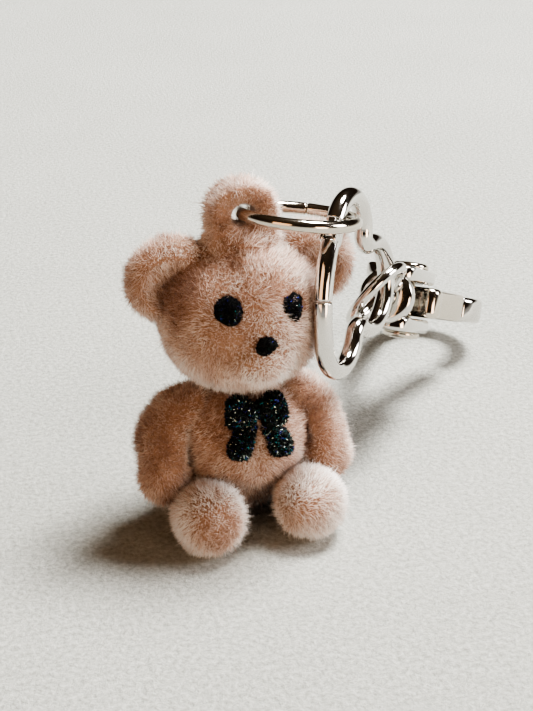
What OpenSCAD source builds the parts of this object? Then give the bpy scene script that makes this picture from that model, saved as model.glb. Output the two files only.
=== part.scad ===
// Flocked bear charm on a jump ring, a cloud-shaped spring-gate ring and a swivel trigger clasp.
// Millimetres, +Z up. The bear sits facing -Y and its left side is +X. The origin is the middle of
// the flat seat under the torso.

/* [Bear] */
// Radius of the head, top to bottom
head_r = 8.2; // [8:0.1:8.3]
// Height of the middle of the head
head_z = 25.3; // [25.2:0.1:25.8]
// Radius of each ear
ear_r = 4.8; // [4:0.1:5]
// Thickness of each ear
ear_t = 4.2; // [3.4:0.1:4.4]
// Radius of the belly
belly_r = 6.8; // [6.4:0.1:6.9]
// Radius of each foot
foot_r = 3.8; // [3.4:0.1:3.8]
// Radius of each hand
hand_r = 3.1; // [2.7:0.1:3.1]

/* [Hanging tab] */
// Radius of the tab on top of the head
tab_r = 3.45; // [3.2:0.05:3.8]
// Thickness of the tab
tab_t = 2.6; // [2.2:0.1:2.8]
// Radius of the hole through the tab
tab_hole_r = 1.25; // [1.2:0.05:1.5]

/* [Rings] */
// Radius of the jump ring at the middle of its wire
jump_r = 6.25; // [6.1:0.05:6.4]
// Diameter of the jump ring's wire
jump_d = 1.4; // [1.1:0.05:1.45]
// Diameter of the cloud ring's bar
cloud_d = 2.1; // [1.8:0.05:2.15]

/* [Clasp] */
// Radius of the swivel eye at the middle of its wire
eye_r = 4.2; // [4.1:0.05:4.3]
// Diameter of the swivel eye's wire
eye_d = 1.3; // [1.1:0.05:1.4]
// Distance from the swivel eye's middle to the far end of the hook
clasp_l = 46; // [45:0.1:46.2]
// Thickness of the clasp over its two cheeks
clasp_t = 8; // [7.6:0.1:8.2]

/* [Hidden] */
$fn = 64;
soft_fn = 32;                  // facets of the moulded, flocked shapes
gap = 0.2;                     // between parts that turn past each other
fit = 0.04;                    // radial clearance of a pin in its hole

// Bear
fur = "rosybrown";
flock = "black";
head_at = [0, -0.6, head_z];
cheek_x = 0.9;                 // the head is wider than high by this on each side
ear_at = [7.9, 0.2, 29.9];     // middle of the left ear
tab_at = [0, -0.2, 36.9];      // middle of the hole in the tab
chest_r = 6.1;
chest_at = [0, -0.3, 11];
belly_at = [0, 0.2, 9.6];
neck_r = 2;
neck_top = 20.2;
hip_at = [0, -0.4, 4.4];       // the hips turn about a line through here along X
hip_r = 3.6;
hip_x = 3.9;                   // inner face of a leg
hip_t = 3.4;                   // thickness of a leg at the hip
foot_at = [5.9, -8, foot_r + 0.05];
shoulder_at = [6.9, 0.1, 12.8];
shoulder_lean = 14;            // the shoulders turn about lines that point out and up by this
peg_r = 1.1;
peg_head_r = 1.6;
peg_l = 2.6;

// Cloud ring, drawn in its own plane: x along its axis of symmetry, y along its long smooth side
cloud_at = [12.5, -1.8, 27.5];
cloud_turn = 47;               // heading of its plane
cloud_lean = 6;                // lean of its plane from upright
cloud_roll = -23;              // turn within its plane
lobe_x = -2.4;                 // end lobes
lobe_y = 5.3;
lobe_r = 4.3;
bulge_x = 5.5;                 // middle lobe
bulge_r = 5;
notch_r = 1.4;                 // fillets between them
side_x = -8;                   // furthest point of the smooth side
thin = 0.06;                   // the fillets and the smooth side are this much thinner than the lobes
lap = 2.5;                     // angle by which a fillet runs into the lobes
side_reach = -side_x - lobe_r;
side_c = (lobe_x * lobe_x + lobe_y * lobe_y - side_reach * side_reach) / (2 * (side_reach + lobe_x));
side_r = side_c - side_x;
lobe_gap = norm([bulge_x - lobe_x, lobe_y]);
to_bulge = [bulge_x - lobe_x, -lobe_y] / lobe_gap;
along = (pow(lobe_r + notch_r, 2) - pow(bulge_r + notch_r, 2) + lobe_gap * lobe_gap) / (2 * lobe_gap);
aside = sqrt(pow(lobe_r + notch_r, 2) - along * along);
notch_at = [lobe_x, lobe_y] + to_bulge * along + [-to_bulge[1], to_bulge[0]] * aside;
side_end = atan2(lobe_y, lobe_x - side_c);              // where the smooth side meets a lobe
lobe_end = atan2(notch_at[1] - lobe_y, notch_at[0] - lobe_x);
bulge_end = atan2(notch_at[1], notch_at[0] - bulge_x);

// Gate in the smooth side. Its plane is turned so that y runs back along the bar from the pin
gate_top = 160;                // angle of the hinge pin round the smooth side's centre
gate_l = 7.4;                  // hinge pin to the free end
gate_at = [side_c + side_r * cos(gate_top), side_r * sin(gate_top)];
gate_half = asin(gate_l / 2 / side_r);
pin_r = 0.4;
knuckle_r = 0.98;
tongue_t = 0.8;                // flat tongue of the frame between the gate's two ears
bar_deg = 180 / PI / side_r;   // angle of a millimetre of the smooth side

// Jump ring
jump_yaw = -14;
jump_drop = 5.9;
jump_tilt = 11.8;
jump_cut = 0.6;                // angle of the gap between the butted ends

// Clasp, drawn with x from the swivel eye to the hook and z along the trigger's rivet
clasp_at = [17.9, 4.1, 23.1];
clasp_pitch = 25.5;
clasp_yaw = 54.6;
eye_turn = 55;                 // the eye's plane, turned about the clasp's own axis
slot_t = 4.5;                  // gap between the cheeks
cheek_t = (clasp_t - slot_t) / 2;
collar_x = eye_r + eye_d / 2 + 0.45;
collar_t = 2.4;
collar_r = 3.3;
post_r = 1;
rivet_x = 19.3;
rivet_r = 1;
rivet_head_r = 2.4;
rivet_head_t = 0.9;
hook_w = 4.2;                  // width of the hook's bar along z
hook_bar = 3;                  // thickness of the hook's bar
hook_r = 6.2;                  // radius of the hook's curve at the middle of the bar
hook_x = clasp_l - hook_r - hook_bar / 2;
hook_tip = 230;                // angle where the hook ends, from x
trigger_t = 3.9;
arm_end = [13.4, -4.3];        // end of the trigger's arm from the rivet

module mirrored(left) {
    if (left) children();
    else mirror([1, 0, 0]) children();
}

// ---------- bear ----------
module at_shoulder() {
    translate(shoulder_at) rotate([0, -shoulder_lean, 0]) children();
}

// A peg that points inwards from a limb, with a head that snaps in behind a narrower throat
module peg(inner) {
    translate([-peg_l, 0, 0]) rotate([0, 90, 0]) {
        cylinder(r = peg_r, h = peg_l + 1);
        cylinder(r = peg_head_r, h = 1);
    }
}

module socket() {
    translate([-peg_l - 0.15, 0, 0]) rotate([0, 90, 0]) {
        cylinder(r = peg_r + fit, h = peg_l + 3);
        cylinder(r = peg_head_r + 0.1, h = 1.3);
    }
}

module torso() {
    color(fur) {
        difference() {
            hull() {
                for (side = [-0.6, 0.6])
                    translate(belly_at + [side, 0, 0]) sphere(r = belly_r, $fn = soft_fn);
                translate(chest_at) sphere(r = chest_r, $fn = soft_fn);
                translate([0, 2.4, 0]) cylinder(r = 3.9, h = 0.8, $fn = soft_fn);
                for (left = [true, false]) mirrored(left) at_shoulder()
                    translate([-gap - 1, 0, -0.2]) rotate([0, 90, 0]) cylinder(r = 2.9, h = 1, $fn = soft_fn);
            }
            translate([0, -0.6, 26.4]) sphere(r = 9.6);
            for (left = [true, false]) mirrored(left) {
                translate([hip_x - gap, hip_at[1], hip_at[2]]) rotate([0, 90, 0])
                    cylinder(r = hip_r + gap, h = 10);
                translate([hip_x, hip_at[1], hip_at[2]]) socket();
                at_shoulder() socket();
            }
        }
        translate([0, -0.6, 15]) cylinder(r = neck_r, h = neck_top - 15);
        translate([0, -0.6, neck_top - 1.2]) cylinder(r = neck_r + 0.6, h = 1.2);
    }
}

module ear() {
    translate(ear_at) rotate([90, 0, 0]) difference() {
        hull() {
            cylinder(r = ear_r, h = ear_t - 3, center = true, $fn = soft_fn);
            cylinder(r = ear_r - 0.5, h = ear_t - 1.6, center = true, $fn = soft_fn);
            cylinder(r = ear_r - 1.6, h = ear_t, center = true, $fn = soft_fn);
        }
        translate([0.3, -0.4, ear_t / 2 + 3.1]) sphere(r = 4.6, $fn = soft_fn);
    }
}

module head() {
    color(fur) difference() {
        union() {
            hull() for (side = [-cheek_x, cheek_x])
                translate(head_at + [side, 0, 0]) sphere(r = head_r, $fn = 48);
            hull() {
                translate(head_at + [0, -5.4, -1.3]) sphere(r = 3.5, $fn = soft_fn);
                translate(head_at + [0, -3.4, -2.4]) sphere(r = 4.4, $fn = soft_fn);
            }
            for (left = [true, false]) mirrored(left) ear();
            translate(tab_at) rotate([90, 0, 0]) cylinder(r = tab_r, h = tab_t, center = true);
            translate([-tab_r + 0.1, tab_at[1] - tab_t / 2 + 0.05, head_z + 6])
                cube([2 * tab_r - 0.2, tab_t - 0.1, tab_at[2] - head_z - 6]);
        }
        translate(tab_at) rotate([90, 0, 0]) {
            cylinder(r = tab_hole_r, h = 10, center = true);
            for (end = [0, 1]) mirror([0, 0, end]) translate([0, 0, tab_t / 2 - 0.45])
                cylinder(r1 = tab_hole_r, r2 = tab_hole_r + 0.9, h = 0.9);
        }
        translate([0, -0.6, 10]) cylinder(r = neck_r + fit, h = neck_top - 10);
        translate([0, -0.6, neck_top - 1.35]) cylinder(r = neck_r + 0.7, h = 1.5);
    }
}

// A flock pad: the cap of a ball, flat where it is stuck down, facing -Y
module pad(r, t) {
    rotate([90, 0, 0]) intersection() {
        translate([0, 0, t - r * 1.8]) sphere(r = r * 1.8);
        translate([0, 0, 0]) cylinder(r = r, h = 3);
    }
}

module bear_eye() {
    aim = [2.55, -6.7, 3.45] / norm([2.55, -6.7, 3.45]);
    color(flock) translate(head_at + [cheek_x, 0, 0] + aim * (head_r + 0.01))
        rotate([0, 0, atan2(aim[0], -aim[1])]) rotate([-asin(aim[2]), 0, 0]) pad(1.5, 0.7);
}
module eye_left() { bear_eye(); }
module eye_right() { mirror([1, 0, 0]) bear_eye(); }

module nose() {
    color(flock) translate(head_at + [0, -8.75, -0.05]) rotate([-20, 0, 0]) pad(1, 0.8);
}

module bow() {
    color(flock) translate([0.3, 0, 0]) for (left = [true, false]) mirrored(left) {
        hull() {
            translate([0.3, -5.5, 15.1]) sphere(r = 0.8, $fn = 24);
            translate([2.1, -5.0, 15.9]) sphere(r = 1.1, $fn = 24);
            translate([2.3, -5.5, 14.5]) sphere(r = 1.05, $fn = 24);
        }
        hull() {
            translate([1.3, -6.0, 13.5]) sphere(r = 0.9, $fn = 24);
            translate([2.4, -6.5, 11.3]) sphere(r = 1.25, $fn = 24);
        }
    }
}

module arm() {
    color(fur) at_shoulder() {
        intersection() {
            hull() {
                translate([1.2, 0, 0.2]) sphere(r = 2.8, $fn = soft_fn);
                translate([1.4, -0.6, -3.0]) sphere(r = hand_r, $fn = soft_fn);
                translate([0.8, -2.2, -5.1]) sphere(r = hand_r, $fn = soft_fn);
            }
            translate([0, -10, -12]) cube([8, 20, 20]);
        }
        peg();
    }
}
module arm_left() { arm(); }
module arm_right() { mirror([1, 0, 0]) arm(); }

module leg() {
    color(fur) {
        translate([hip_x, hip_at[1], hip_at[2]]) rotate([0, 90, 0]) cylinder(r = hip_r, h = hip_t);
        hull() {
            translate(foot_at) sphere(r = foot_r, $fn = soft_fn);
            translate([hip_x + 2.5, -4.4, hip_at[2] - 0.5]) sphere(r = 2.6, $fn = soft_fn);
        }
        translate([hip_x, hip_at[1], hip_at[2]]) peg();
    }
}
module leg_left() { leg(); }
module leg_right() { mirror([1, 0, 0]) leg(); }

// ---------- rings ----------
// Round bar bent to radius r in the xy plane, from angle a to angle b
module bent_bar(r, a, b, d) {
    rotate([0, 0, a]) rotate_extrude(angle = b - a) translate([r, 0]) circle(d = d, $fn = 32);
}

module jump_ring() {
    color("silver") translate(tab_at) rotate([0, jump_drop, jump_yaw]) rotate([-jump_tilt, 0, 0])
        translate([jump_r, 0, 0]) bent_bar(jump_r, 75 + jump_cut, 435, jump_d);
}

module in_cloud_plane() {
    translate(cloud_at) rotate([0, 0, cloud_turn]) rotate([90 - cloud_lean, 0, 0])
        rotate([0, 0, cloud_roll]) children();
}

module at_gate() {
    translate(concat(gate_at, 0)) rotate([0, 0, gate_top - 180]) children();
}

// Everything past the gate's free end, square to the line from its pin
module past_gate(from) {
    translate(concat(gate_at, 0)) rotate([0, 0, gate_top + 90 + gate_half])
        translate([from, -4, -4]) cube([8, 8, 8]);
}

module cloud_ring() {
    color("silver") in_cloud_plane() {
        translate([bulge_x, 0, 0]) bent_bar(bulge_r, -bulge_end, bulge_end, cloud_d);
        for (top = [0, 1]) mirror([0, top, 0]) {
            translate([lobe_x, lobe_y, 0]) bent_bar(lobe_r, lobe_end, side_end, cloud_d);
            translate(notch_at)
                bent_bar(notch_r, lobe_end + 180 - lap, bulge_end + 180 + lap, cloud_d - thin);
        }
        translate([side_c, 0, 0])
            bent_bar(side_r, side_end - 0.4, gate_top - 1.3 * bar_deg, cloud_d - thin);
        difference() {
            translate([side_c, 0, 0]) bent_bar(side_r, gate_top + 2 * gate_half - 3, 360.4 - side_end, cloud_d - thin);
            past_gate(gate_l + 0.15 - 8);
        }
        at_gate() difference() {
            linear_extrude(tongue_t, center = true) {
                circle(r = 0.9);
                translate([-0.88, 0]) square([1.76, 2.2]);
            }
            cylinder(r = pin_r, h = 6, center = true);
        }
    }
}

module ring_gate() {
    color("silver") in_cloud_plane() difference() {
        union() {
            translate([side_c, 0, 0])
                bent_bar(side_r, gate_top + 0.3 * bar_deg, gate_top + 2 * gate_half + 3, cloud_d - thin);
            at_gate() cylinder(r = knuckle_r, h = 2 * 0.98, center = true);
        }
        past_gate(gate_l);
        at_gate() {
            cylinder(r = pin_r + fit, h = 6, center = true);
            translate([-4, -1.2, -tongue_t / 2 - 0.1]) cube([8, 8, tongue_t + 0.2]);
            translate([0.05, -4.4, 0]) rotate([-90, 0, 0]) cylinder(r = 0.6, h = 4);
        }
    }
}

module gate_pin() {
    color("gainsboro") in_cloud_plane() at_gate() cylinder(r = pin_r, h = cloud_d, center = true);
}

// A wire wound round z
module coil(r, wire, pitch, turns, steps = 16, sides = 6) {
    rings = turns * steps;
    points = [for (i = [0 : rings], j = [0 : sides - 1])
        let (a = 360 * i / steps, b = 360 * j / sides, out = r + wire / 2 * cos(b))
        [out * cos(a), out * sin(a), pitch * i / steps + wire / 2 * sin(b)]];
    walls = [for (i = [0 : rings - 1], j = [0 : sides - 1])
        let (k = (j + 1) % sides, a = i * sides)
        [a + sides + j, a + sides + k, a + k, a + j]];
    ends = [[for (j = [0 : sides - 1]) j], [for (j = [sides - 1 : -1 : 0]) rings * sides + j]];
    polyhedron(points = points, faces = concat(walls, ends));
}

module gate_spring() {
    color("gainsboro") in_cloud_plane() at_gate() translate([0.05, -1.7, 0]) rotate([90, 0, 0])
        coil(0.4, 0.16, 0.4, 6);
}

// ---------- clasp ----------
module in_clasp() {
    translate(clasp_at) rotate([0, clasp_pitch, clasp_yaw]) children();
}

module swivel_eye() {
    color("silver") in_clasp() {
        rotate([-eye_turn, 0, 0]) bent_bar(eye_r, 0, 360, eye_d);
        rotate([0, 90, 0]) {
            translate([0, 0, eye_r]) cylinder(r = post_r, h = collar_x + collar_t + 0.9 - eye_r);
            translate([0, 0, collar_x + collar_t + 0.1]) cylinder(r = post_r + 0.7, h = 0.8);
        }
    }
}

module cheek() {
    a = collar_x;
    b = rivet_x;
    linear_extrude(cheek_t, center = true) polygon([
        [a + 0.6, -2.5], [a + 2.8, -3.2], [b - 1.5, -3.4], [b + 1.4, -3.1], [b + 2.7, -1.8],
        [b + 3.2, 0], [b + 2.8, 2], [b + 1.4, 3.2], [a + 2.8, 3.4], [a + 0.6, 2.5]]);
}

module clasp_body() {
    color("silver") in_clasp() difference() {
        union() {
            translate([collar_x, 0, 0]) rotate([0, 90, 0]) cylinder(r = collar_r, h = collar_t);
            for (side = [-1, 1]) translate([0, 0, side * (slot_t + cheek_t) / 2]) cheek();
            // back that joins the cheeks
            translate([collar_x + collar_t + 1.5, 2.6, -clasp_t / 2 + 0.3])
                cube([rivet_x - collar_x - collar_t - 1, 0.7, clasp_t - 0.6]);
            // shank of the hook
            linear_extrude(hook_w - 0.1, center = true) polygon([
                [rivet_x - 5, 2.65], [rivet_x + 1.5, 2.65], [rivet_x + 5, 3.3], [hook_x - 1, hook_r - 1.4],
                [hook_x + 0.8, hook_r - 1.35], [hook_x + 0.8, hook_r + 1.35], [hook_x - 1, hook_r + 1.3],
                [rivet_x + 4, 5.6], [rivet_x, 3.9], [rivet_x - 5, 3.25]]);
            translate([hook_x, 0, 0]) rotate([0, 0, hook_tip]) rotate_extrude(angle = 450 - hook_tip)
                translate([hook_r, 0]) square([hook_bar, hook_w], center = true);
        }
        translate([collar_x - 1, 0, 0]) rotate([0, 90, 0]) cylinder(r = post_r + fit, h = collar_t + 2);
        translate([rivet_x, 0, 0]) cylinder(r = rivet_r + fit, h = 20, center = true);
    }
}

module trigger() {
    color("silver") in_clasp() translate([rivet_x, 0, 0]) difference() {
        union() {
            cylinder(r = 2.35, h = trigger_t, center = true);
            // arm that closes the hook
            linear_extrude(trigger_t - 0.1, center = true) polygon([
                [0, 1.6], [4, 0.6], [arm_end[0], arm_end[1] + 1.4], [arm_end[0] + 0.5, arm_end[1]],
                [arm_end[0] - 0.2, arm_end[1] - 1.2], [arm_end[0] - 1.2, arm_end[1] - 1.4], [4, -3.2], [0.5, -1.8]]);
            // thumb lever
            linear_extrude(trigger_t - 0.1, center = true) polygon([
                [-1.7, -0.5], [-2.5, -2.9], [-2.1, -4.1], [-1, -4.6], [0.3, -4.2], [0.9, -3.2], [1.4, -0.5]]);
        }
        cylinder(r = rivet_r + fit, h = 10, center = true);
        // seat of the spring
        translate([0, 0, trigger_t / 2 - 1.5]) cylinder(r = 1.9, h = 5);
    }
}

module trigger_rivet() {
    color("gainsboro") in_clasp() translate([rivet_x, 0, 0]) {
        cylinder(r = rivet_r, h = clasp_t + 0.3, center = true);
        for (side = [-1, 1]) translate([0, 0, side * (clasp_t / 2 + 0.05 + rivet_head_t / 2)])
            cylinder(r = rivet_head_r, h = rivet_head_t, center = true);
    }
}

module trigger_spring() {
    color("gainsboro") in_clasp() translate([rivet_x, 0, trigger_t / 2 - 1.25])
        coil(1.45, 0.35, 0.42, 2.5, 24);
}

torso();
bow();
head();
eye_left();
eye_right();
nose();
arm_left();
arm_right();
leg_left();
leg_right();
jump_ring();
cloud_ring();
ring_gate();
gate_pin();
gate_spring();
swivel_eye();
clasp_body();
trigger();
trigger_rivet();
trigger_spring();
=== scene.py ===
"""The looks of a flocked bear charm with a jump ring, a cloud ring and a swivel trigger clasp.

Sizes and places are in millimetres, in the frame's axes or in the axes of the Place that a shape is drawn in.
Place.at() and MM turn them into metres.
"""
import math

import bmesh
import bpy
import numpy as np
from mathutils import Matrix, Vector
from mathutils.bvhtree import BVHTree


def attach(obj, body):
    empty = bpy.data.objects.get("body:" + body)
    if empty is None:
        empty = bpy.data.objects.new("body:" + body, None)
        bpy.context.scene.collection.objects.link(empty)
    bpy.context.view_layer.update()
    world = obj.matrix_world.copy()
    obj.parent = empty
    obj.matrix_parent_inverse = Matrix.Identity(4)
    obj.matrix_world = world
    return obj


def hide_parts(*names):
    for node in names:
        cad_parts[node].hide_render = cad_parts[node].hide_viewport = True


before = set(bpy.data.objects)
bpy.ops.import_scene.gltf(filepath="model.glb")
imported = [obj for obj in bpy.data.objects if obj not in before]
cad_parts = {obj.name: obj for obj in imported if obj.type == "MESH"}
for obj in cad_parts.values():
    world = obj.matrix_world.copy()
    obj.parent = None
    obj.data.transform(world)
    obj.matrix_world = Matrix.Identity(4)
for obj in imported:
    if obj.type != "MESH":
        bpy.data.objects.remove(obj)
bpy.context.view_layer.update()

MM = 0.001
FLOOR_GAP = 0.02 * MM


# ---------- small helpers ----------
def rot(axis, deg):
    """The matrix of a turn about x, y or z."""
    c, s = math.cos(math.radians(deg)), math.sin(math.radians(deg))
    return np.array(
        {
            "x": [[1, 0, 0], [0, c, -s], [0, s, c]],
            "y": [[c, 0, s], [0, 1, 0], [-s, 0, c]],
            "z": [[c, -s, 0], [s, c, 0], [0, 0, 1]],
        }[axis],
        float,
    )


def unit(v):
    v = np.asarray(v, float)
    return v / np.maximum(np.linalg.norm(v, axis=-1, keepdims=True), 1e-12)


def angle_of(v):
    return math.degrees(math.atan2(v[1], v[0]))


def around(n):
    """n angles spread over a full turn."""
    return np.linspace(0, 2 * math.pi, n, endpoint=False)


class Place:
    """A turned and moved set of axes: at(points in mm) gives metres in the frame."""

    def __init__(self, origin, turn):
        self.origin, self.turn = np.array(origin, float), turn

    def at(self, points):
        return (np.asarray(points, float) @ self.turn.T + self.origin) * MM


def linked(name, me):
    """A new object in the scene with that mesh."""
    o = bpy.data.objects.new(name, me)
    bpy.context.scene.collection.objects.link(o)
    return o


def shade_smooth(me):
    me.polygons.foreach_set("use_smooth", [True] * len(me.polygons))


def joined(name, parts):
    """One object out of several (vertices, faces) lists."""
    verts, faces, n = [], [], 0
    for v, f in parts:
        verts.append(np.asarray(v))
        faces += [[i + n for i in q] for q in f]
        n += len(v)
    me = bpy.data.meshes.new(name)
    me.from_pydata([tuple(v) for v in np.vstack(verts)], [], [tuple(int(i) for i in f) for f in faces])
    me.update()
    shade_smooth(me)
    return linked(name, me)


def rings_to_mesh(rings, closed):
    """Quads between rings of points; the ends are capped unless the rings close on themselves."""
    n, k = len(rings), len(rings[0])
    faces = []
    for i in range(n if closed else n - 1):
        a, b = i * k, ((i + 1) % n) * k
        faces += [[a + j, a + (j + 1) % k, b + (j + 1) % k, b + j] for j in range(k)]
    if not closed:
        faces.append(list(range(k))[::-1])
        faces.append([(n - 1) * k + j for j in range(k)])
    return np.vstack(rings), faces


# A direction that no bar starts along
ASKEW = (0.31, 0.52, 0.79)
# The angles of a rounded edge's steps
CORNER = [math.radians(a) for a in (0, 22.5, 45, 67.5, 90)]


def tube(place, path, radius, closed=False, sides=40, chamfer=0.12):
    """A round bar along a path; an open bar has chamfered ends."""
    path = np.asarray(path, float)
    if closed:
        tangent = unit(np.roll(path, -1, 0) - np.roll(path, 1, 0))
    else:
        first = path[0] + unit(path[1] - path[0]) * chamfer
        last = path[-1] + unit(path[-2] - path[-1]) * chamfer
        path = np.vstack([path[:1], first[None], path[1:-1], last[None], path[-1:]])
        tangent = unit(np.gradient(path, axis=0))
    scale = np.ones(len(path))
    if not closed:
        scale[[0, -1]] = 1 - chamfer / radius
    th = around(sides)[:, None]
    up = np.cross(tangent[0], ASKEW)
    rings = []
    for p, t, s in zip(path, tangent, scale):
        up = unit(up - t * (up @ t))
        side = np.cross(t, up)
        rings.append(p + radius * s * (np.cos(th) * up + np.sin(th) * side))
    v, f = rings_to_mesh(rings, closed)
    return place.at(v), f


def arc(centre, r, a, b, n):
    """n points of an arc in the xy plane from angle a to angle b."""
    th = np.radians(np.linspace(a, b, n))
    return np.stack([centre[0] + r * np.cos(th), centre[1] + r * np.sin(th), 0 * th], -1)


def coil(place, origin, r, wire, pitch, turns, axes):
    """A coil spring of thin wire; axes are the rows that its x, y and z turn into."""
    steps_a_turn = 26
    th = np.linspace(0, 2 * math.pi * turns, int(turns * steps_a_turn))
    path = np.stack([r * np.cos(th), r * np.sin(th), pitch * th / (2 * math.pi)], -1)
    return tube(place, path @ np.array(axes, float) + origin, wire / 2, sides=12, chamfer=0.02)


def rounded(points, times=3):
    """A closed outline with its corners cut off, several times over."""
    p = np.asarray(points, float)
    for _ in range(times):
        q = np.roll(p, -1, 0)
        p = np.stack([0.75 * p + 0.25 * q, 0.25 * p + 0.75 * q], 1).reshape(-1, 2)
    return p


def circle(r, n=48):
    return np.stack([r * np.cos(around(n)), r * np.sin(around(n))], -1)


def puck(place, outline, low, high, edge=0.25, origin=(0, 0)):
    """A plate in the place's xy plane with rounded rims, from z low to z high."""
    p = np.asarray(outline, float) + np.asarray(origin)
    area = np.sum(p[:, 0] * np.roll(p[:, 1], -1) - np.roll(p[:, 0], -1) * p[:, 1])
    if area < 0:
        p = p[::-1]
    t = unit(np.roll(p, -1, 0) - np.roll(p, 1, 0))
    inward = np.stack([-t[:, 1], t[:, 0]], -1)
    rings = []
    for a, level, way in [(a, low, 1) for a in CORNER] + [(a, high, -1) for a in CORNER[::-1]]:
        height = np.full(len(p), level + way * edge * (1 - math.cos(a)))
        rings.append(np.c_[p + inward * edge * (1 - math.sin(a)), height])
    v, f = rings_to_mesh(rings, False)
    return place.at(v), f


def lathe(place, profile, axis="z", origin=(0, 0, 0), n=56):
    """(radius, height) pairs turned about the z or x axis of the place."""
    th = around(n)
    rings = []
    for r, h in profile:
        ring = np.stack([r * np.cos(th), r * np.sin(th), np.full(n, h)], -1)
        if axis == "x":
            ring = ring[:, [2, 0, 1]]
        rings.append(ring + np.asarray(origin))
    v, f = rings_to_mesh(rings, False)
    return place.at(v), f


def spline(points, n):
    """A smooth curve through rows of numbers, with n points to a stretch."""
    p = np.asarray(points, float)
    p = np.vstack([2 * p[0] - p[1], p, 2 * p[-1] - p[-2]])
    out = []
    for i in range(1, len(p) - 2):
        a, b, c, d = p[i - 1 : i + 3]
        for t in np.linspace(0, 1, n, endpoint=False):
            square, cube = (2 * a - 5 * b + 4 * c - d) * t * t, (3 * b - a - 3 * c + d) * t**3
            out.append(0.5 * (2 * b + (c - a) * t + square + cube))
    return np.array(out + [p[-2]])


def band(place, path, width, edge):
    """A flat bar with rounded edges along rows of (x, y, thickness, width factor) in the xy plane."""
    xy = path[:, :2]
    t = unit(np.gradient(xy, axis=0))
    normal = np.stack([-t[:, 1], t[:, 0]], -1)
    quarters = ((1, 1, 0), (-1, 1, 90), (-1, -1, 180), (1, -1, 270))
    rings = []
    for p, n, thick, factor in zip(xy, normal, path[:, 2], path[:, 3]):
        e = min(edge, thick * 0.45)
        half, w = thick / 2 - e, width * factor / 2 - e
        ring = []
        for sx, sy, turn in quarters:
            for a in CORNER:
                b = a + math.radians(turn)
                ring.append([*(p + n * (sx * half + e * math.cos(b))), sy * w + e * math.sin(b)])
        rings.append(np.array(ring))
    v, f = rings_to_mesh(rings, False)
    return place.at(v), f


# ---------- materials ----------
def principled(name, base, **inputs):
    """A material and its shader, with the inputs set on the shader's own sockets."""
    m = bpy.data.materials.new(name)
    m.use_nodes = True
    b = m.node_tree.nodes["Principled BSDF"]
    b.inputs["Base Color"].default_value = (*base, 1)
    for key, value in inputs.items():
        b.inputs[key.replace("_", " ").title().replace("Ior", "IOR")].default_value = value
    return m, b


def add(m, kind, **sockets):
    n = m.node_tree.nodes.new(kind)
    for key, value in sockets.items():
        n.inputs[key.replace("_", " ")].default_value = value
    return n


def coords_in_mm(m):
    """Object coordinates, in millimetres."""
    c = m.node_tree.nodes.new("ShaderNodeTexCoord")
    s = add(m, "ShaderNodeMapping", Scale=(1 / MM,) * 3)
    m.node_tree.links.new(c.outputs["Object"], s.inputs["Vector"])
    return s


def noise(m, place, scale, detail, roughness):
    n = add(m, "ShaderNodeTexNoise", Scale=scale, Detail=detail, Roughness=roughness)
    m.node_tree.links.new(place.outputs[0], n.inputs["Vector"])
    return n


def set_stops(color_ramp, stops):
    """Colours at places from 0 to 1 on a colour ramp."""
    while len(color_ramp.elements) < len(stops):
        color_ramp.elements.new(0.5)
    for element, (position, colour) in zip(color_ramp.elements, stops):
        element.position, element.color = position, (*colour, 1)


def mottle(m, shader, first, second, share, stops):
    """The shader's colour from two noises, of which the second has that share."""
    link = m.node_tree.links.new
    mix = m.node_tree.nodes.new("ShaderNodeMix")
    factor, a, b = mix.inputs[0], mix.inputs[2], mix.inputs[3]
    factor.default_value = share
    link(first.outputs["Fac"], a)
    link(second.outputs["Fac"], b)
    colours = m.node_tree.nodes.new("ShaderNodeValToRGB")
    set_stops(colours.color_ramp, stops)
    link(mix.outputs[0], colours.inputs["Fac"])
    link(colours.outputs["Color"], shader.inputs["Base Color"])


def relief(m, shader, height, strength, distance):
    """The shader's bumps from a noise."""
    bump = add(m, "ShaderNodeBump", Strength=strength, Distance=distance)
    m.node_tree.links.new(height.outputs["Fac"], bump.inputs["Height"])
    m.node_tree.links.new(bump.outputs[0], shader.inputs["Normal"])


def plating(name, tint, rough):
    """Bright plating with faint wear in its gloss and a slightly uneven surface."""
    wear = 0.105
    m, shader = principled(name, tint, metallic=1.0, roughness=rough)
    place = coords_in_mm(m)
    fine = noise(m, place, scale=2.2, detail=6.0, roughness=0.6)
    wide = noise(m, place, scale=0.35, detail=3.0, roughness=0.5)
    gloss = add(m, "ShaderNodeMapRange", From_Min=0.35, From_Max=0.75, To_Min=rough, To_Max=rough + wear)
    m.node_tree.links.new(fine.outputs["Fac"], gloss.inputs["Value"])
    m.node_tree.links.new(gloss.outputs[0], shader.inputs["Roughness"])
    relief(m, shader, wide, strength=0.10, distance=0.12 * MM)
    return m


def felt(name, stops, scale, sheen, height):
    """The matted root of the flock: mottled, rough, with a soft sheen."""
    m, shader = principled(name, stops[1][1], roughness=0.95, sheen_weight=sheen, sheen_roughness=0.45)
    place = coords_in_mm(m)
    wide = noise(m, place, scale, detail=5.0, roughness=0.65)
    fine = noise(m, place, scale * 7, detail=4.0, roughness=0.7)
    mottle(m, shader, wide, fine, 0.5, stops)
    relief(m, shader, fine, strength=0.9, distance=height)
    return m


def paper():
    """Pale rough paper under the object."""
    m, shader = principled("paper", (0.80, 0.79, 0.765), roughness=0.9)
    place = coords_in_mm(m)
    grain = noise(m, place, scale=1.6, detail=8.0, roughness=0.7)
    wide = noise(m, place, scale=0.03, detail=3.0, roughness=0.5)
    mottle(m, shader, grain, wide, 0.08, [(0.37, (0.325, 0.332, 0.300)), (0.63, (0.570, 0.580, 0.540))])
    relief(m, shader, grain, strength=0.9, distance=0.6 * MM)
    return m


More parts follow.
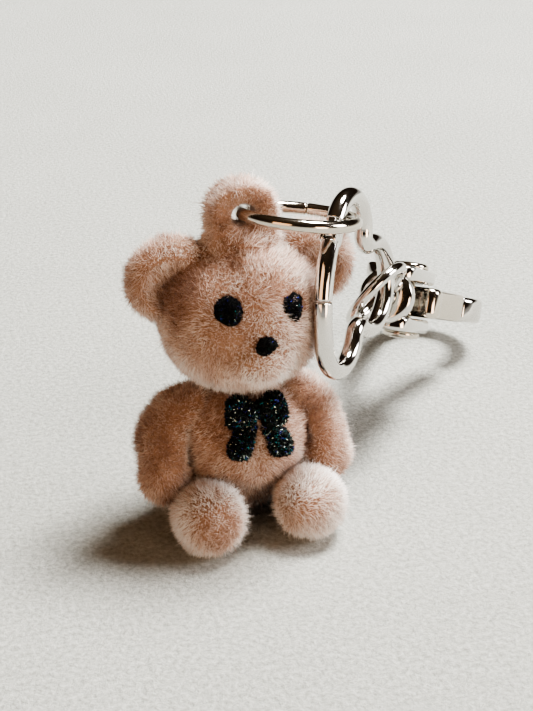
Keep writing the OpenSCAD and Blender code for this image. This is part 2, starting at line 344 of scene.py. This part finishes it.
FUR_ROOT = [(0.3, (0.17, 0.07, 0.035)), (0.5, (0.33, 0.17, 0.10)), (0.72, (0.50, 0.32, 0.22))]
DARK_ROOT = [(0.35, (0.001, 0.001, 0.001)), (0.55, (0.002, 0.004, 0.003)), (0.75, (0.006, 0.012, 0.010))]
FUR_SKIN = felt("fur_skin", FUR_ROOT, scale=0.5, sheen=0.6, height=0.3 * MM)
DARK_SKIN = felt("dark_skin", DARK_ROOT, scale=2.0, sheen=0.0, height=0.2 * MM)
FUR_COLOURS = [
    (0.19, 0.085, 0.050),
    (0.36, 0.205, 0.142),
    (0.54, 0.360, 0.275),
    (0.70, 0.515, 0.420),
    (0.84, 0.700, 0.610),
    (0.95, 0.885, 0.830),
]
FIBRE_LOOK = {"roughness": 0.75, "sheen_weight": 0.8, "sheen_roughness": 0.35, "specular_ior_level": 0.3}
FIBRES = [principled(f"fibre_{i}", colour, **FIBRE_LOOK)[0] for i, colour in enumerate(FUR_COLOURS)]
FLAKES = [
    principled("flake_black", (0.001, 0.001, 0.0015), roughness=0.9, specular_ior_level=0.1)[0],
    principled("flake_green", (0.003, 0.010, 0.007), roughness=0.6, specular_ior_level=0.2)[0],
    principled("flake_gloss", (0.01, 0.012, 0.014), roughness=0.25)[0],
    principled("flake_teal", (0.02, 0.15, 0.17), metallic=1.0, roughness=0.25)[0],
    principled("flake_blue", (0.05, 0.06, 0.30), metallic=1.0, roughness=0.25)[0],
    principled("flake_pale", (0.55, 0.65, 0.60), metallic=1.0, roughness=0.2)[0],
]
CHROME = plating("chrome", (0.63, 0.61, 0.58), rough=0.045)
CHROME_WARM = plating("chrome_warm", (0.58, 0.53, 0.46), rough=0.08)
PIN = plating("pin_metal", (0.72, 0.70, 0.66), rough=0.16)
SPRING = plating("spring_wire", (0.55, 0.54, 0.52), rough=0.22)


def finish_piece(obj, material, body, node):
    """The piece rides on a body; material and node may be None."""
    if material is not None:
        obj.data.materials.clear()
        obj.data.materials.append(material)
    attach(obj, body)
    if node:
        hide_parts(node)


# ---------- flock in general ----------
SKIN_SMOOTHING = 0.5
DRIFT_WAVES = 7
DRIFT_PHASES = 6.3
DRIFT_SPREAD = 3.2
ROOT_DEPTH = 0.06 * MM


def as_arrays(me):
    """Vertices, vertex normals and triangles of a mesh."""
    me.calc_loop_triangles()
    v = np.empty(len(me.vertices) * 3)
    me.vertices.foreach_get("co", v)
    n = np.empty(len(me.vertices) * 3)
    me.vertices.foreach_get("normal", n)
    t = np.empty(len(me.loop_triangles) * 3, np.int32)
    me.loop_triangles.foreach_get("vertices", t)
    return v.reshape(-1, 3), n.reshape(-1, 3), t.reshape(-1, 3)


def obstacles(names):
    """One search tree of the surfaces of several CAD nodes."""
    verts, tris, n = [], [], 0
    for name in names:
        v, _, t = as_arrays(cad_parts[name].data)
        verts.append(v)
        tris.append(t + n)
        n += len(v)
    return BVHTree.FromPolygons(np.vstack(verts).tolist(), np.vstack(tris).tolist())


def skin(node, voxel, rounds, lumps, reshape):
    """A smooth closed skin over a CAD node, with soft lumps added and a change of shape, above the floor."""
    b = bmesh.new()
    b.from_mesh(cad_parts[node].data)
    for centre, radii in lumps:
        m = Matrix.Translation(Vector(centre) * MM) @ Matrix.Diagonal((*[r * MM for r in radii], 1))
        bmesh.ops.create_icosphere(b, subdivisions=4, radius=1.0, matrix=m)
    rough = bpy.data.meshes.new(node + "_skin")
    b.to_mesh(rough)
    b.free()
    o = linked(node + "_skin", rough)
    remesh = o.modifiers.new("remesh", "REMESH")
    remesh.mode, remesh.voxel_size = "VOXEL", voxel * MM
    smooth = o.modifiers.new("smooth", "SMOOTH")
    smooth.factor, smooth.iterations = SKIN_SMOOTHING, rounds
    bpy.context.view_layer.update()
    me = bpy.data.meshes.new_from_object(o.evaluated_get(bpy.context.evaluated_depsgraph_get()))
    o.modifiers.clear()
    o.data = me
    bpy.data.meshes.remove(rough)
    v, n, _ = as_arrays(me)
    v = reshape(v / MM, n) * MM
    v[:, 2] = np.maximum(v[:, 2], FLOOR_GAP)
    me.vertices.foreach_set("co", v.ravel())
    me.update()
    shade_smooth(me)
    return o


def scatter(me, per_mm2, rng):
    """Random points on a mesh and the normals there."""
    v, n, t = as_arrays(me)
    a, b, c = v[t[:, 0]], v[t[:, 1]], v[t[:, 2]]
    area = np.linalg.norm(np.cross(b - a, c - a), axis=1) / 2
    count = int(area.sum() / MM**2 * per_mm2)
    pick = rng.choice(len(t), count, p=area / area.sum())
    u, w = rng.random(count), rng.random(count)
    flip = u + w > 1
    u[flip], w[flip] = 1 - u[flip], 1 - w[flip]
    k = 1 - u - w
    p = a[pick] * k[:, None] + b[pick] * u[:, None] + c[pick] * w[:, None]
    normal = n[t[pick, 0]] * k[:, None] + n[t[pick, 1]] * u[:, None] + n[t[pick, 2]] * w[:, None]
    return p, unit(normal)


def drift(p, waves, seed):
    """Slow smooth variation over space, about -1 to 1; waves is per millimetre."""
    rng = np.random.default_rng(seed)
    out = 0
    for _ in range(DRIFT_WAVES):
        k = rng.normal(size=3) * waves / MM
        out = out + np.sin(p @ k + rng.random() * DRIFT_PHASES)
    return out / DRIFT_SPREAD


def spikes(name, p, d, length, width, tint, materials, seed):
    """Thin three-sided fibres from p along d, each in one of the plain materials."""
    rng = np.random.default_rng(seed)
    n = len(p)
    e1 = unit(np.cross(d, unit(rng.normal(size=(n, 3)))))
    e2 = np.cross(d, e1)
    verts = np.empty((n, 4, 3))
    for i, th in enumerate(around(3)):
        verts[:, i] = p - d * ROOT_DEPTH + (width / 2)[:, None] * (math.cos(th) * e1 + math.sin(th) * e2)
    verts[:, 3] = p + d * length[:, None]
    verts[:, :, 2] = np.maximum(verts[:, :, 2], FLOOR_GAP / 2)
    base = np.arange(n)[:, None] * 4
    tris = np.stack([base + [0, 1, 3], base + [1, 2, 3], base + [2, 0, 3]], 1).reshape(-1)
    me = bpy.data.meshes.new(name)
    me.vertices.add(n * 4)
    me.vertices.foreach_set("co", verts.reshape(-1))
    me.loops.add(n * 9)
    me.loops.foreach_set("vertex_index", tris)
    me.polygons.add(n * 3)
    me.polygons.foreach_set("loop_start", np.arange(n * 3) * 3)
    for m in materials:
        me.materials.append(m)
    me.polygons.foreach_set("material_index", np.repeat(tint, 3).astype(np.int32))
    me.update(calc_edges=True)
    me.validate()
    return linked(name, me)


def uneven(amount, seed, swell):
    """A change of shape: soft lumps all over, as hand-finished flock has, on a slightly fuller form."""

    def change(q, n):
        return q + n * (swell + amount * drift(q * MM, 0.55, seed))[:, None]

    return change


# ---------- the bear's fur ----------
# Centre of the hole in the head's tab
TAB = np.array([0, -0.2, 36.9])
TAB_HOLE_R = 1.3
SWELL = 0.1
# Direction of the window light: flock on sides that face it is painted lighter, painted light
PAINTED_LIGHT_FROM = unit([0.75, 0.0, 0.55])
BASE_SHADE = 0.47
# Where the flock is lighter or darker, in part painted light and shade: centre, distance from it, spread, and
# how much
SHADE_SPOTS = {
    "head": [
        ((0.4, -9.2, 24.0), 0, 3.9, 0.46),
        # Cheek in shade, darker: painted shade
        ((-4.6, -7.6, 24.4), 0, 2.6, -0.12),
        ((0.5, -6.5, 18.6), 0, 4.5, 0.16),
    ],
    "torso": [((1.0, -6.6, 7.0), 0, 3.4, 0.16)],
}
for name, side in (("left", 1), ("right", -1)):
    ear_cup, sole = (side * 7.2, -2.4, 29.2), (side * 5.9, -11.7, 4.2)
    # Ears: darker cups, painted shade, and lighter rims, painted highlight; soles darker in the middle and
    # lighter round the rim
    SHADE_SPOTS["head"] += [(ear_cup, 0, 2.6, -0.42), (ear_cup, 4.6, 1.2, 0.12)]
    SHADE_SPOTS["leg_" + name] = [(sole, 0, 1.7, -0.10), (sole, 4.2, 1.6, 0.26)]
# Whole pieces lighter or darker: the legs painted lighter, standing in for the light on them, and the arms
# painted darker, painted shade
WHOLE_PIECE_SHADE = {"leg_left": 0.18, "leg_right": 0.18, "arm_left": -0.08, "arm_right": -0.08}

FIBRES_PER_MM2 = 34
LEG_FIBRES_PER_MM2 = 36
FIBRE_VOXEL, FIBRE_ROUNDS = 0.3, 7
FIBRE_L, LEG_FIBRE_L = 0.7, 0.85
LENGTH_SPREAD, LENGTH_PATCHES = 0.15, 0.17
SHORTEST, LONGEST = 0.35, 1.2
FIBRE_W, WIDTH_SPREAD = 0.085, 0.018
THINNEST, WIDEST = 0.04, 0.14
SHADE_SPREAD = 0.13
# Stray fibres are longer, thinner and lighter than the rest
STRAY_SHARE = 0.09
STRAY_STRETCH = (1.3, 1.9)
STRAY_WIDTH = 0.6
STRAY_SHADE = 0.16
# How far fibres lean: combed in patches, each at random, and towards the ground
COMBED, TOUSLED, HANG = 0.50, 0.32, [0, -0.04, -0.10]
LEAST_UPRIGHT = 0.2
LOWEST_ROOT = 0.15 * MM
ROOM_UNDER_METAL = 0.3 * MM
FREE_SHARE = 0.8

HARD_NODES = ["jump_ring", "cloud_ring", "ring_gate", "swivel_eye", "clasp_body"]
HARD = obstacles(HARD_NODES + ["eye_left", "eye_right", "nose", "bow"])


def bell(x, spread, at=0.0):
    """1 where x is at, and less away from it."""
    return np.exp(-(((x - at) / spread) ** 2))


def from_tab_hole(q):
    return np.hypot(q[:, 0], q[:, 2] - TAB[2])


def in_tab_hole(q):
    return (from_tab_hole(q) < TAB_HOLE_R + 0.45) & (np.abs(q[:, 1] - TAB[1]) < 3)


def shade_of(node, p, n):
    """How light the flock is at a point, 0 to 1: random tone, with painted light on sides facing the window
    light and painted light and shade in spots and on whole pieces.
    """
    q = p / MM
    s = BASE_SHADE + 0.10 * drift(p, 0.35, 11) + 0.13 * drift(p, 1.1, 12)
    # Painted light: lighter fibres on sides that face the window light, and whole pieces painted lighter or
    # darker
    s = s + 0.15 * np.clip(n @ PAINTED_LIGHT_FROM, 0, 1) + WHOLE_PIECE_SHADE.get(node, 0)
    for centre, away, spread, amount in SHADE_SPOTS.get(node, ()):
        s = s + amount * bell(np.linalg.norm(q - centre, axis=1), spread, away)
    if node == "head":
        tab_front = np.clip((q[:, 2] - 33.5) / 3, 0, 1) * (q[:, 1] < -0.8)
        s = s - 0.10 * tab_front - 0.32 * bell(from_tab_hole(q), 0.8, TAB_HOLE_R)
    if node == "torso":
        # The top of the torso, under the head, is darker: painted shade
        painted_shade_under_chin = q[:, 2] > 13
        s = s - 0.10 * painted_shade_under_chin
    return s


def cleared(p, n, d, length, keep):
    """Fibres shortened where they would reach metal, eyes, nose or bow, and dropped where there's no room."""
    for i in np.flatnonzero(keep):
        start, reach = Vector(p[i] - n[i] * 0.1 * MM), float(length[i] * 1.1 + 0.15 * MM)
        hit = HARD.ray_cast(start, Vector(d[i]), reach)
        if hit[0] is None:
            continue
        if hit[3] < ROOM_UNDER_METAL:
            keep[i] = False
        else:
            length[i] = hit[3] * FREE_SHARE


def flock(node, seed, reshape, per_mm2=FIBRES_PER_MM2, long=FIBRE_L, bare=None, lumps=()):
    """Skin and standing fibres of one flocked piece, which rides on the body of its own name."""
    rng = np.random.default_rng(seed)
    base = skin(node, FIBRE_VOXEL, FIBRE_ROUNDS, lumps, reshape)
    p, n = scatter(base.data, per_mm2 * (1), rng)
    count = len(p)
    length = rng.normal(long, LENGTH_SPREAD, count) + LENGTH_PATCHES * drift(p, 0.8, seed + 7)
    length = length.clip(SHORTEST, LONGEST) * MM
    stray = rng.random(count) < STRAY_SHARE
    length[stray] *= rng.uniform(*STRAY_STRETCH, stray.sum())
    comb = np.stack([drift(p, 0.5, seed + k) for k in (1, 2, 3)], -1)
    d = unit(n + COMBED * comb + TOUSLED * rng.normal(size=(count, 3)) + HANG)
    keep = (d * n).sum(1) > LEAST_UPRIGHT
    keep &= p[:, 2] > LOWEST_ROOT
    length = np.where(p[:, 2] + d[:, 2] * length < FLOOR_GAP, length * 0.35, length)
    if bare is not None:
        keep &= ~bare(p / MM)
    cleared(p, n, d, length, keep)
    p, n, d, length, stray = p[keep], n[keep], d[keep], length[keep], stray[keep]
    shade = shade_of(node, p, n) + rng.normal(0, SHADE_SPREAD, len(p)) + STRAY_SHADE * stray
    tint = np.clip((shade * len(FIBRES)).astype(int), 0, len(FIBRES) - 1)
    width = rng.normal(FIBRE_W, WIDTH_SPREAD, len(p)).clip(THINNEST, WIDEST) * MM
    width[stray] *= STRAY_WIDTH
    pile = spikes(node + "_fur", p, d, length, width, tint, FIBRES, seed)
    finish_piece(base, FUR_SKIN, node, node)
    finish_piece(pile, None, node, None)


def head_shape(q, n):
    """The tab is thicker towards its rim than the plate that carries it, and its hole stays round."""
    beside_hole = np.clip(from_tab_hole(q) - TAB_HOLE_R, 0, 1)[:, None]
    q = uneven(0.10, 61, SWELL)(q, n * beside_hole)
    rim = np.clip((q[:, 2] - 32.5) / 2, 0, 1) * (from_tab_hole(q) < 5)
    q[:, 1] = TAB[1] + (q[:, 1] - TAB[1]) * (1 + 0.35 * rim)
    q[:, 0] *= 1 + 0.06 * rim
    return q


def arm_shape(side, seed):
    """An arm whose shoulder slopes in towards the neck."""
    slope, slope_from = 0.42, 12.8

    def change(q, n):
        q = uneven(0.14, seed, SWELL)(q, n)
        q[:, 0] -= side * slope * np.maximum(q[:, 2] - slope_from, 0)
        return q

    return change


TAB_FOOT = ((0, -0.2, 32.5), (4.7, 2.5, 2.9))
MUZZLE = ((0, -7.1, 22.8), (3.9, 2.6, 2.8))
flock("head", 21, head_shape, bare=in_tab_hole, lumps=[TAB_FOOT, MUZZLE])
flock("torso", 22, uneven(0.14, 62, SWELL))
for k, (name, side) in enumerate((("left", 1), ("right", -1))):
    shoulder, hand = ((side * 6.9, 0.0, 14.0), (2.9, 2.9, 2.5)), ((side * 9.5, -2.3, 6.7), (2.9, 3.0, 3.2))
    flock("arm_" + name, 30 + k, arm_shape(side, 63 + k), lumps=[shoulder, hand])
    flock("leg_" + name, 40 + k, uneven(0.08, 65 + k, 0.0), LEG_FIBRES_PER_MM2, LEG_FIBRE_L)

# ---------- bow, eyes and nose ----------
PAD_VOXEL, PAD_ROUNDS = 0.14, 4
# Shares of the flakes in the order of FLAKES
GLITTER = (0.49, 0.27, 0.09, 0.06, 0.045, 0.045)
BLACK_FLOCK = (0.86, 0.07, 0.02, 0.01, 0.035, 0.005)


def grit(node, body, per_mm2, size, seed, rough, weights, narrow=1.0, drop=0.0):
    """A dark flock pad: a rough skin covered in short flakes."""
    rng = np.random.default_rng(seed)

    def change(q, n):
        middle = q.mean(0)
        bumps = n * (rough * drift(q * MM, 2.2, seed))[:, None]
        return middle + (q - middle) * [narrow, 1, 1] - [0, 0, drop] + bumps

    base = skin(node, PAD_VOXEL, PAD_ROUNDS, (), change)
    p, n = scatter(base.data, per_mm2 * (1), rng)
    d = unit(n + 0.75 * rng.normal(size=n.shape))
    keep = (d * n).sum(1) > 0.0
    p, d = p[keep], d[keep]
    length = rng.uniform(0.5, 1.25, len(p)) * size * MM
    width = rng.uniform(0.5, 1.1, len(p)) * size * 0.75 * MM
    tint = rng.choice(len(FLAKES), len(p), p=weights)
    pile = spikes(node + "_flakes", p, d, length, width, tint, FLAKES, seed)
    finish_piece(base, DARK_SKIN, body, node)
    finish_piece(pile, None, body, None)


face = {"body": "head", "per_mm2": 90, "size": 0.26, "rough": 0.14, "weights": BLACK_FLOCK}
grit("bow", "torso", per_mm2=55, size=0.45, seed=51, rough=0.22, weights=GLITTER)
grit("eye_left", seed=52, narrow=0.84, drop=0.3, **face)
grit("eye_right", seed=53, **face)
grit("nose", seed=54, **face)

# ---------- jump ring ----------
JUMP_R, JUMP_BAR_R = 6.25, 0.7
JUMP_CUT_AT, JUMP_CUT = 75, 0.6
jump_turn = rot("z", -14) @ rot("y", 5.9) @ rot("x", -11.8)
JUMP = Place(TAB + jump_turn @ [JUMP_R, 0, 0], jump_turn)
jump_path = arc((0, 0), JUMP_R, JUMP_CUT_AT + JUMP_CUT, JUMP_CUT_AT + 360, 150)
jump_wire = joined("jump_ring_wire", [tube(JUMP, jump_path, JUMP_BAR_R)])
finish_piece(jump_wire, CHROME_WARM, "jump_ring", "jump_ring")

# ---------- cloud ring ----------
# Its outline is four arcs to each side of its middle line: end bulge, notch, side lobe and smooth side
CLOUD = Place((12.5, -1.8, 27.5), rot("z", 47) @ rot("x", 84) @ rot("z", -23))
CLOUD_BAR_R, GATE_BAR_R = 1.05, 1.03
LOBE, LOBE_R = np.array([-2.4, 5.3]), 4.3
BULGE, BULGE_R = np.array([5.5, 0.0]), 5.0
NOTCH_R = 1.4
SIDE_X = -8.0
reach = -SIDE_X - LOBE_R
SIDE_C = (LOBE @ LOBE - reach**2) / (2 * (reach + LOBE[0]))
SIDE_R = SIDE_C - SIDE_X
gap = np.linalg.norm(BULGE - LOBE)
to_bulge = (BULGE - LOBE) / gap
along = ((LOBE_R + NOTCH_R) ** 2 - (BULGE_R + NOTCH_R) ** 2 + gap**2) / (2 * gap)
aside = math.sqrt((LOBE_R + NOTCH_R) ** 2 - along**2)
NOTCH = LOBE + to_bulge * along + np.array([-to_bulge[1], to_bulge[0]]) * aside
side_end, lobe_end, bulge_end = angle_of(LOBE - [SIDE_C, 0]), angle_of(NOTCH - LOBE), angle_of(NOTCH - BULGE)

# The gate fills the middle of the smooth side, from its pin to its free end
PIN_ANGLE, GATE_L = 160.0, 7.4
GATE_END_GAP = 0.16
gate_end = PIN_ANGLE + 2 * math.degrees(math.asin(GATE_L / 2 / SIDE_R))
per_mm = math.degrees(1 / SIDE_R)


def half_outline(last, steps):
    """The ring's upper half from its end bulge to an angle on its smooth side."""
    return np.vstack([
        arc(BULGE, BULGE_R, 0, bulge_end, 40)[:-1],
        arc(NOTCH, NOTCH_R, bulge_end + 180, lobe_end + 180, 18)[:-1],
        arc(LOBE, LOBE_R, lobe_end, side_end, 60)[:-1],
        arc((SIDE_C, 0), SIDE_R, side_end, last, steps),
    ])


upper = half_outline(PIN_ANGLE - 1.3 * per_mm, 6)
lower = half_outline(360 - gate_end - GATE_END_GAP * per_mm, 40) * [1, -1, 1]
pin_at = arc((SIDE_C, 0), SIDE_R, PIN_ANGLE, PIN_ANGLE, 1)
GATE = Place(CLOUD.at(pin_at)[0] / MM, CLOUD.turn @ rot("z", PIN_ANGLE - 180))

tongue = rounded([(-0.9, 2.3), (-0.9, -0.5), (-0.5, -0.9), (0.5, -0.9), (0.9, -0.5), (0.9, 2.3)], 2)
cloud_path = np.vstack([lower[::-1], upper[1:]])
cloud_parts = [tube(CLOUD, cloud_path, CLOUD_BAR_R, sides=48), puck(GATE, tongue, -0.4, 0.4, 0.06)]
finish_piece(joined("cloud_bar", cloud_parts), CHROME, "cloud_ring", "cloud_ring")

fork = rounded([(-0.95, 0.3), (-0.55, 0.95), (0.55, 0.95), (0.95, 0.3), (0.96, -1.6), (-0.96, -1.6)], 2)
gate_path = arc((SIDE_C, 0), SIDE_R, PIN_ANGLE + 1.0 * per_mm, gate_end, 30)
gate_parts = [tube(CLOUD, gate_path, GATE_BAR_R, sides=48)]
for low, high in ((-0.95, -0.5), (0.5, 0.95)):
    gate_parts.append(puck(GATE, fork, low, high, 0.12))
finish_piece(joined("gate_bar", gate_parts), CHROME, "ring_gate", "ring_gate")

pin_profile = [(0.25, -1.1), (0.4, -1.02), (0.4, 1.02), (0.25, 1.1)]
pin_rod = joined("gate_pin_rod", [lathe(GATE, pin_profile, n=24)])
finish_piece(pin_rod, PIN, "cloud_ring", "gate_pin")
along_gate = [[1, 0, 0], [0, 0, 1], [0, -1, 0]]
gate_turns = coil(GATE, (0.05, -1.7, 0), r=0.4, wire=0.16, pitch=0.4, turns=6, axes=along_gate)
gate_coil = joined("gate_coil", [gate_turns])
finish_piece(gate_coil, SPRING, "ring_gate", "gate_spring")

# ---------- swivel eye ----------
# The clasp's x axis is its length, from the middle of the swivel eye to the tip of the hook
CLASP = Place((17.9, 4.1, 23.1), rot("z", 54.6) @ rot("y", 25.5))
EYE_R, EYE_D = 4.2, 1.3
EYE_TURN = -55
COLLAR = EYE_R + EYE_D / 2 + 0.45
eye_place = Place(CLASP.origin, CLASP.turn @ rot("x", EYE_TURN))
post = [
    (0.75, EYE_R - 0.1),
    (1.0, EYE_R + 0.35),
    (1.0, COLLAR + 2.5),
    (1.55, COLLAR + 2.55),
    (1.7, COLLAR + 2.75),
    (1.6, COLLAR + 3.1),
    (0.9, COLLAR + 3.3),
    (0.1, COLLAR + 3.35),
]
neck = [(0.9, EYE_R + 0.2), (1.35, EYE_R + 0.55), (1.2, EYE_R + 0.95), (1.0, COLLAR - 0.06)]
eye_parts = [
    tube(eye_place, arc((0, 0), EYE_R, 0, 360, 121)[:-1], EYE_D / 2, closed=True),
    lathe(CLASP, post, "x"),
    lathe(CLASP, neck, "x"),
]
finish_piece(joined("swivel_loop", eye_parts), CHROME, "swivel_eye", "swivel_eye")

# ---------- clasp ----------
CLASP_L = 46
RIVET = 19.3
HOOK_R, HOOK_T, HOOK_W = 6.2, 3.0, 4.2
HOOK_X = CLASP_L - HOOK_R - HOOK_T / 2
CHEEK_IN, CHEEK_OUT = 2.25, 4.0
BEND_STEPS = 60

cheek = rounded([
    (COLLAR + 0.5, -2.7),
    (COLLAR + 3.2, -3.3),
    (RIVET - 1.5, -3.5),
    (RIVET + 1.6, -3.3),
    (RIVET + 3.2, -1.8),
    (RIVET + 3.5, 0),
    (RIVET + 3.2, 2),
    (RIVET + 1.6, 3.4),
    (COLLAR + 3.2, 3.5),
    (COLLAR + 0.5, 2.7),
])
collar = [
    (1.1, COLLAR),
    (2.7, COLLAR),
    (3.2, COLLAR + 0.2),
    (3.35, COLLAR + 0.6),
    (3.05, COLLAR + 1.0),
    (3.3, COLLAR + 1.4),
    (3.35, COLLAR + 1.9),
    (3.1, COLLAR + 2.4),
    (1.1, COLLAR + 2.4),
]
back = [(COLLAR + 3.9, 2.65), (RIVET - 0.8, 2.65), (RIVET - 0.8, 3.3), (COLLAR + 3.9, 3.3)]
# Rows of x, y, thickness and width factor along the hook's straight shank
shank = [
    (RIVET - 5.2, 2.95, 0.8, 1.0),
    (RIVET - 1, 3.1, 0.95, 1.0),
    (RIVET + 2, 3.6, 1.6, 1.0),
    (RIVET + 6, 4.5, 2.4, 1.0),
    (RIVET + 11, 5.5, 2.8, 1.0),
    (HOOK_X - 3, 6.05, 2.95, 1.0),
]
bend = arc((HOOK_X, 0), HOOK_R, 90, -130, BEND_STEPS)
round_bend = np.linspace(0, 1, BEND_STEPS)
thickness = np.interp(round_bend, [0, 0.6, 0.93, 1], [HOOK_T, 2.8, 2.3, 1.5])
narrowing = np.interp(round_bend, [0, 0.3, 0.8, 1], [1, 0.95, 0.85, 0.8])
hook = np.vstack([spline(shank, 6)[:-1], np.c_[bend[:, :2], thickness, narrowing]])
body_parts = [
    lathe(CLASP, collar, "x"),
    puck(CLASP, cheek, CHEEK_IN, CHEEK_OUT, 0.45),
    puck(CLASP, cheek, -CHEEK_OUT, -CHEEK_IN, 0.45),
    puck(CLASP, back, -3.6, 3.6, 0.12),
    band(CLASP, hook, HOOK_W, 0.7),
]
finish_piece(joined("clasp_frame", body_parts), CHROME, "clasp", "clasp_body")

rivet_head = [
    (0.3, 0.0),
    (2.1, 0.0),
    (2.4, 0.2),
    (2.4, 0.55),
    (2.15, 0.85),
    (1.4, 0.98),
    (0.4, 1.0),
    (0.05, 1.0),
]
rivet_shank = [(0.8, -4.1), (1.0, -4.0), (1.0, 4.0), (0.8, 4.1)]
rivet_parts = [lathe(CLASP, rivet_shank, origin=(RIVET, 0, 0))]
for side in (-1, 1):
    profile = [(r, side * (CHEEK_OUT + 0.03 + h)) for r, h in rivet_head]
    rivet_parts.append(lathe(CLASP, profile[::side], origin=(RIVET, 0, 0)))
finish_piece(joined("rivet_heads", rivet_parts), CHROME_WARM, "clasp", "trigger_rivet")

# The trigger's outlines are drawn from its rivet
arm = rounded([
    (0, 1.7),
    (4, 0.7),
    (13.3, -2.8),
    (14.1, -4.2),
    (13.3, -5.7),
    (12, -5.7),
    (4, -3.3),
    (0.4, -2.0),
    (-1.6, -0.6),
])
lever = rounded([(-1.7, 0.4), (-2.7, -2.8), (-2.4, -4.3), (-1, -5.0), (0.5, -4.5), (1.2, -3.2), (1.6, 0.2)])
trigger_parts = [
    puck(CLASP, circle(2.35), -1.95, 1.95, 0.2, (RIVET, 0)),
    puck(CLASP, arm, -1.9, 1.9, 0.5, (RIVET, 0)),
    puck(CLASP, lever, -1.95, 1.95, 0.75, (RIVET, 0)),
]
finish_piece(joined("trigger_gate", trigger_parts), CHROME_WARM, "trigger", "trigger")
trigger_turns = coil(CLASP, (RIVET, 0, 0.75), r=1.45, wire=0.35, pitch=0.42, turns=2.5, axes=np.eye(3))
trigger_coil = joined("trigger_coil", [trigger_turns])
finish_piece(trigger_coil, SPRING, "trigger", "trigger_spring")

# ---------- floor, room and lights, from here in metres ----------
bpy.ops.mesh.primitive_plane_add(size=3.0, location=(0, 0, -0.00005))
floor = bpy.context.object
floor.name = "floor"
floor.data.materials.append(paper())

# The room's brightness by height: pale at the horizon, dark above it for the metal to reflect
SKY = [
    (0.0, (0.50, 0.49, 0.47)),
    (0.06, (0.42, 0.40, 0.37)),
    (0.13, (0.022, 0.013, 0.008)),
    (0.5, (0.022, 0.015, 0.010)),
    (1.0, (0.075, 0.050, 0.030)),
]


def room():
    world = bpy.data.worlds.new("room")
    bpy.context.scene.world = world
    world.use_nodes = True
    nodes, link = world.node_tree.nodes, world.node_tree.links.new
    coords = nodes.new("ShaderNodeTexCoord")
    split = nodes.new("ShaderNodeSeparateXYZ")
    by_height = nodes.new("ShaderNodeValToRGB")
    set_stops(by_height.color_ramp, SKY)
    link(coords.outputs["Generated"], split.inputs[0])
    link(split.outputs["Z"], by_height.inputs["Fac"])
    link(by_height.outputs["Color"], nodes["Background"].inputs["Color"])
    nodes["Background"].inputs["Strength"].default_value = 1.0


room()

LIT_POINT = Vector((0.008, 0, 0.018))


def area_light(name, direction, distance, size, power, colour):
    """A square light that faces the object from a direction."""
    light = bpy.data.lights.new(name, "AREA")
    light.shape, light.size, light.energy, light.color = "SQUARE", size, power, colour
    o = linked(name, light)
    d = Vector(direction).normalized()
    o.location = LIT_POINT + d * distance
    o.rotation_euler = d.to_track_quat("Z", "Y").to_euler()
    o.visible_camera = False


area_light("window", (0.40, 0.17, 0.90), 1.2, 0.38, 50, (1.0, 0.985, 0.96))
area_light("side", (0.90, -0.30, 0.42), 0.6, 0.22, 3.8, (1.0, 0.96, 0.96))
area_light("front", (0.38, -0.90, 0.12), 0.6, 0.22, 1.35, (1.0, 0.74, 0.54))
area_light("warm_fill", (-0.72, -0.62, 0.32), 0.7, 0.40, 1.35, (1.0, 0.58, 0.32))

# ---------- camera ----------
AZIMUTH, ELEVATION = math.radians(-16.5), math.radians(26)
LOOK_AT, DISTANCE = Vector((0, 0, 0.022)), 0.155
bpy.context.scene.view_settings.look = "AgX - Medium High Contrast"
lens = bpy.data.cameras.new("camera")
lens.lens, lens.sensor_width, lens.clip_start = 70, 36, 0.01
lens.shift_x, lens.shift_y = 0.0367, -0.0276
camera = linked("camera", lens)
level = math.cos(ELEVATION)
towards_camera = Vector((math.sin(AZIMUTH) * level, -math.cos(AZIMUTH) * level, math.sin(ELEVATION)))
camera.location = LOOK_AT + towards_camera * DISTANCE
camera.rotation_euler = towards_camera.to_track_quat("Z", "Y").to_euler()
bpy.context.scene.camera = camera
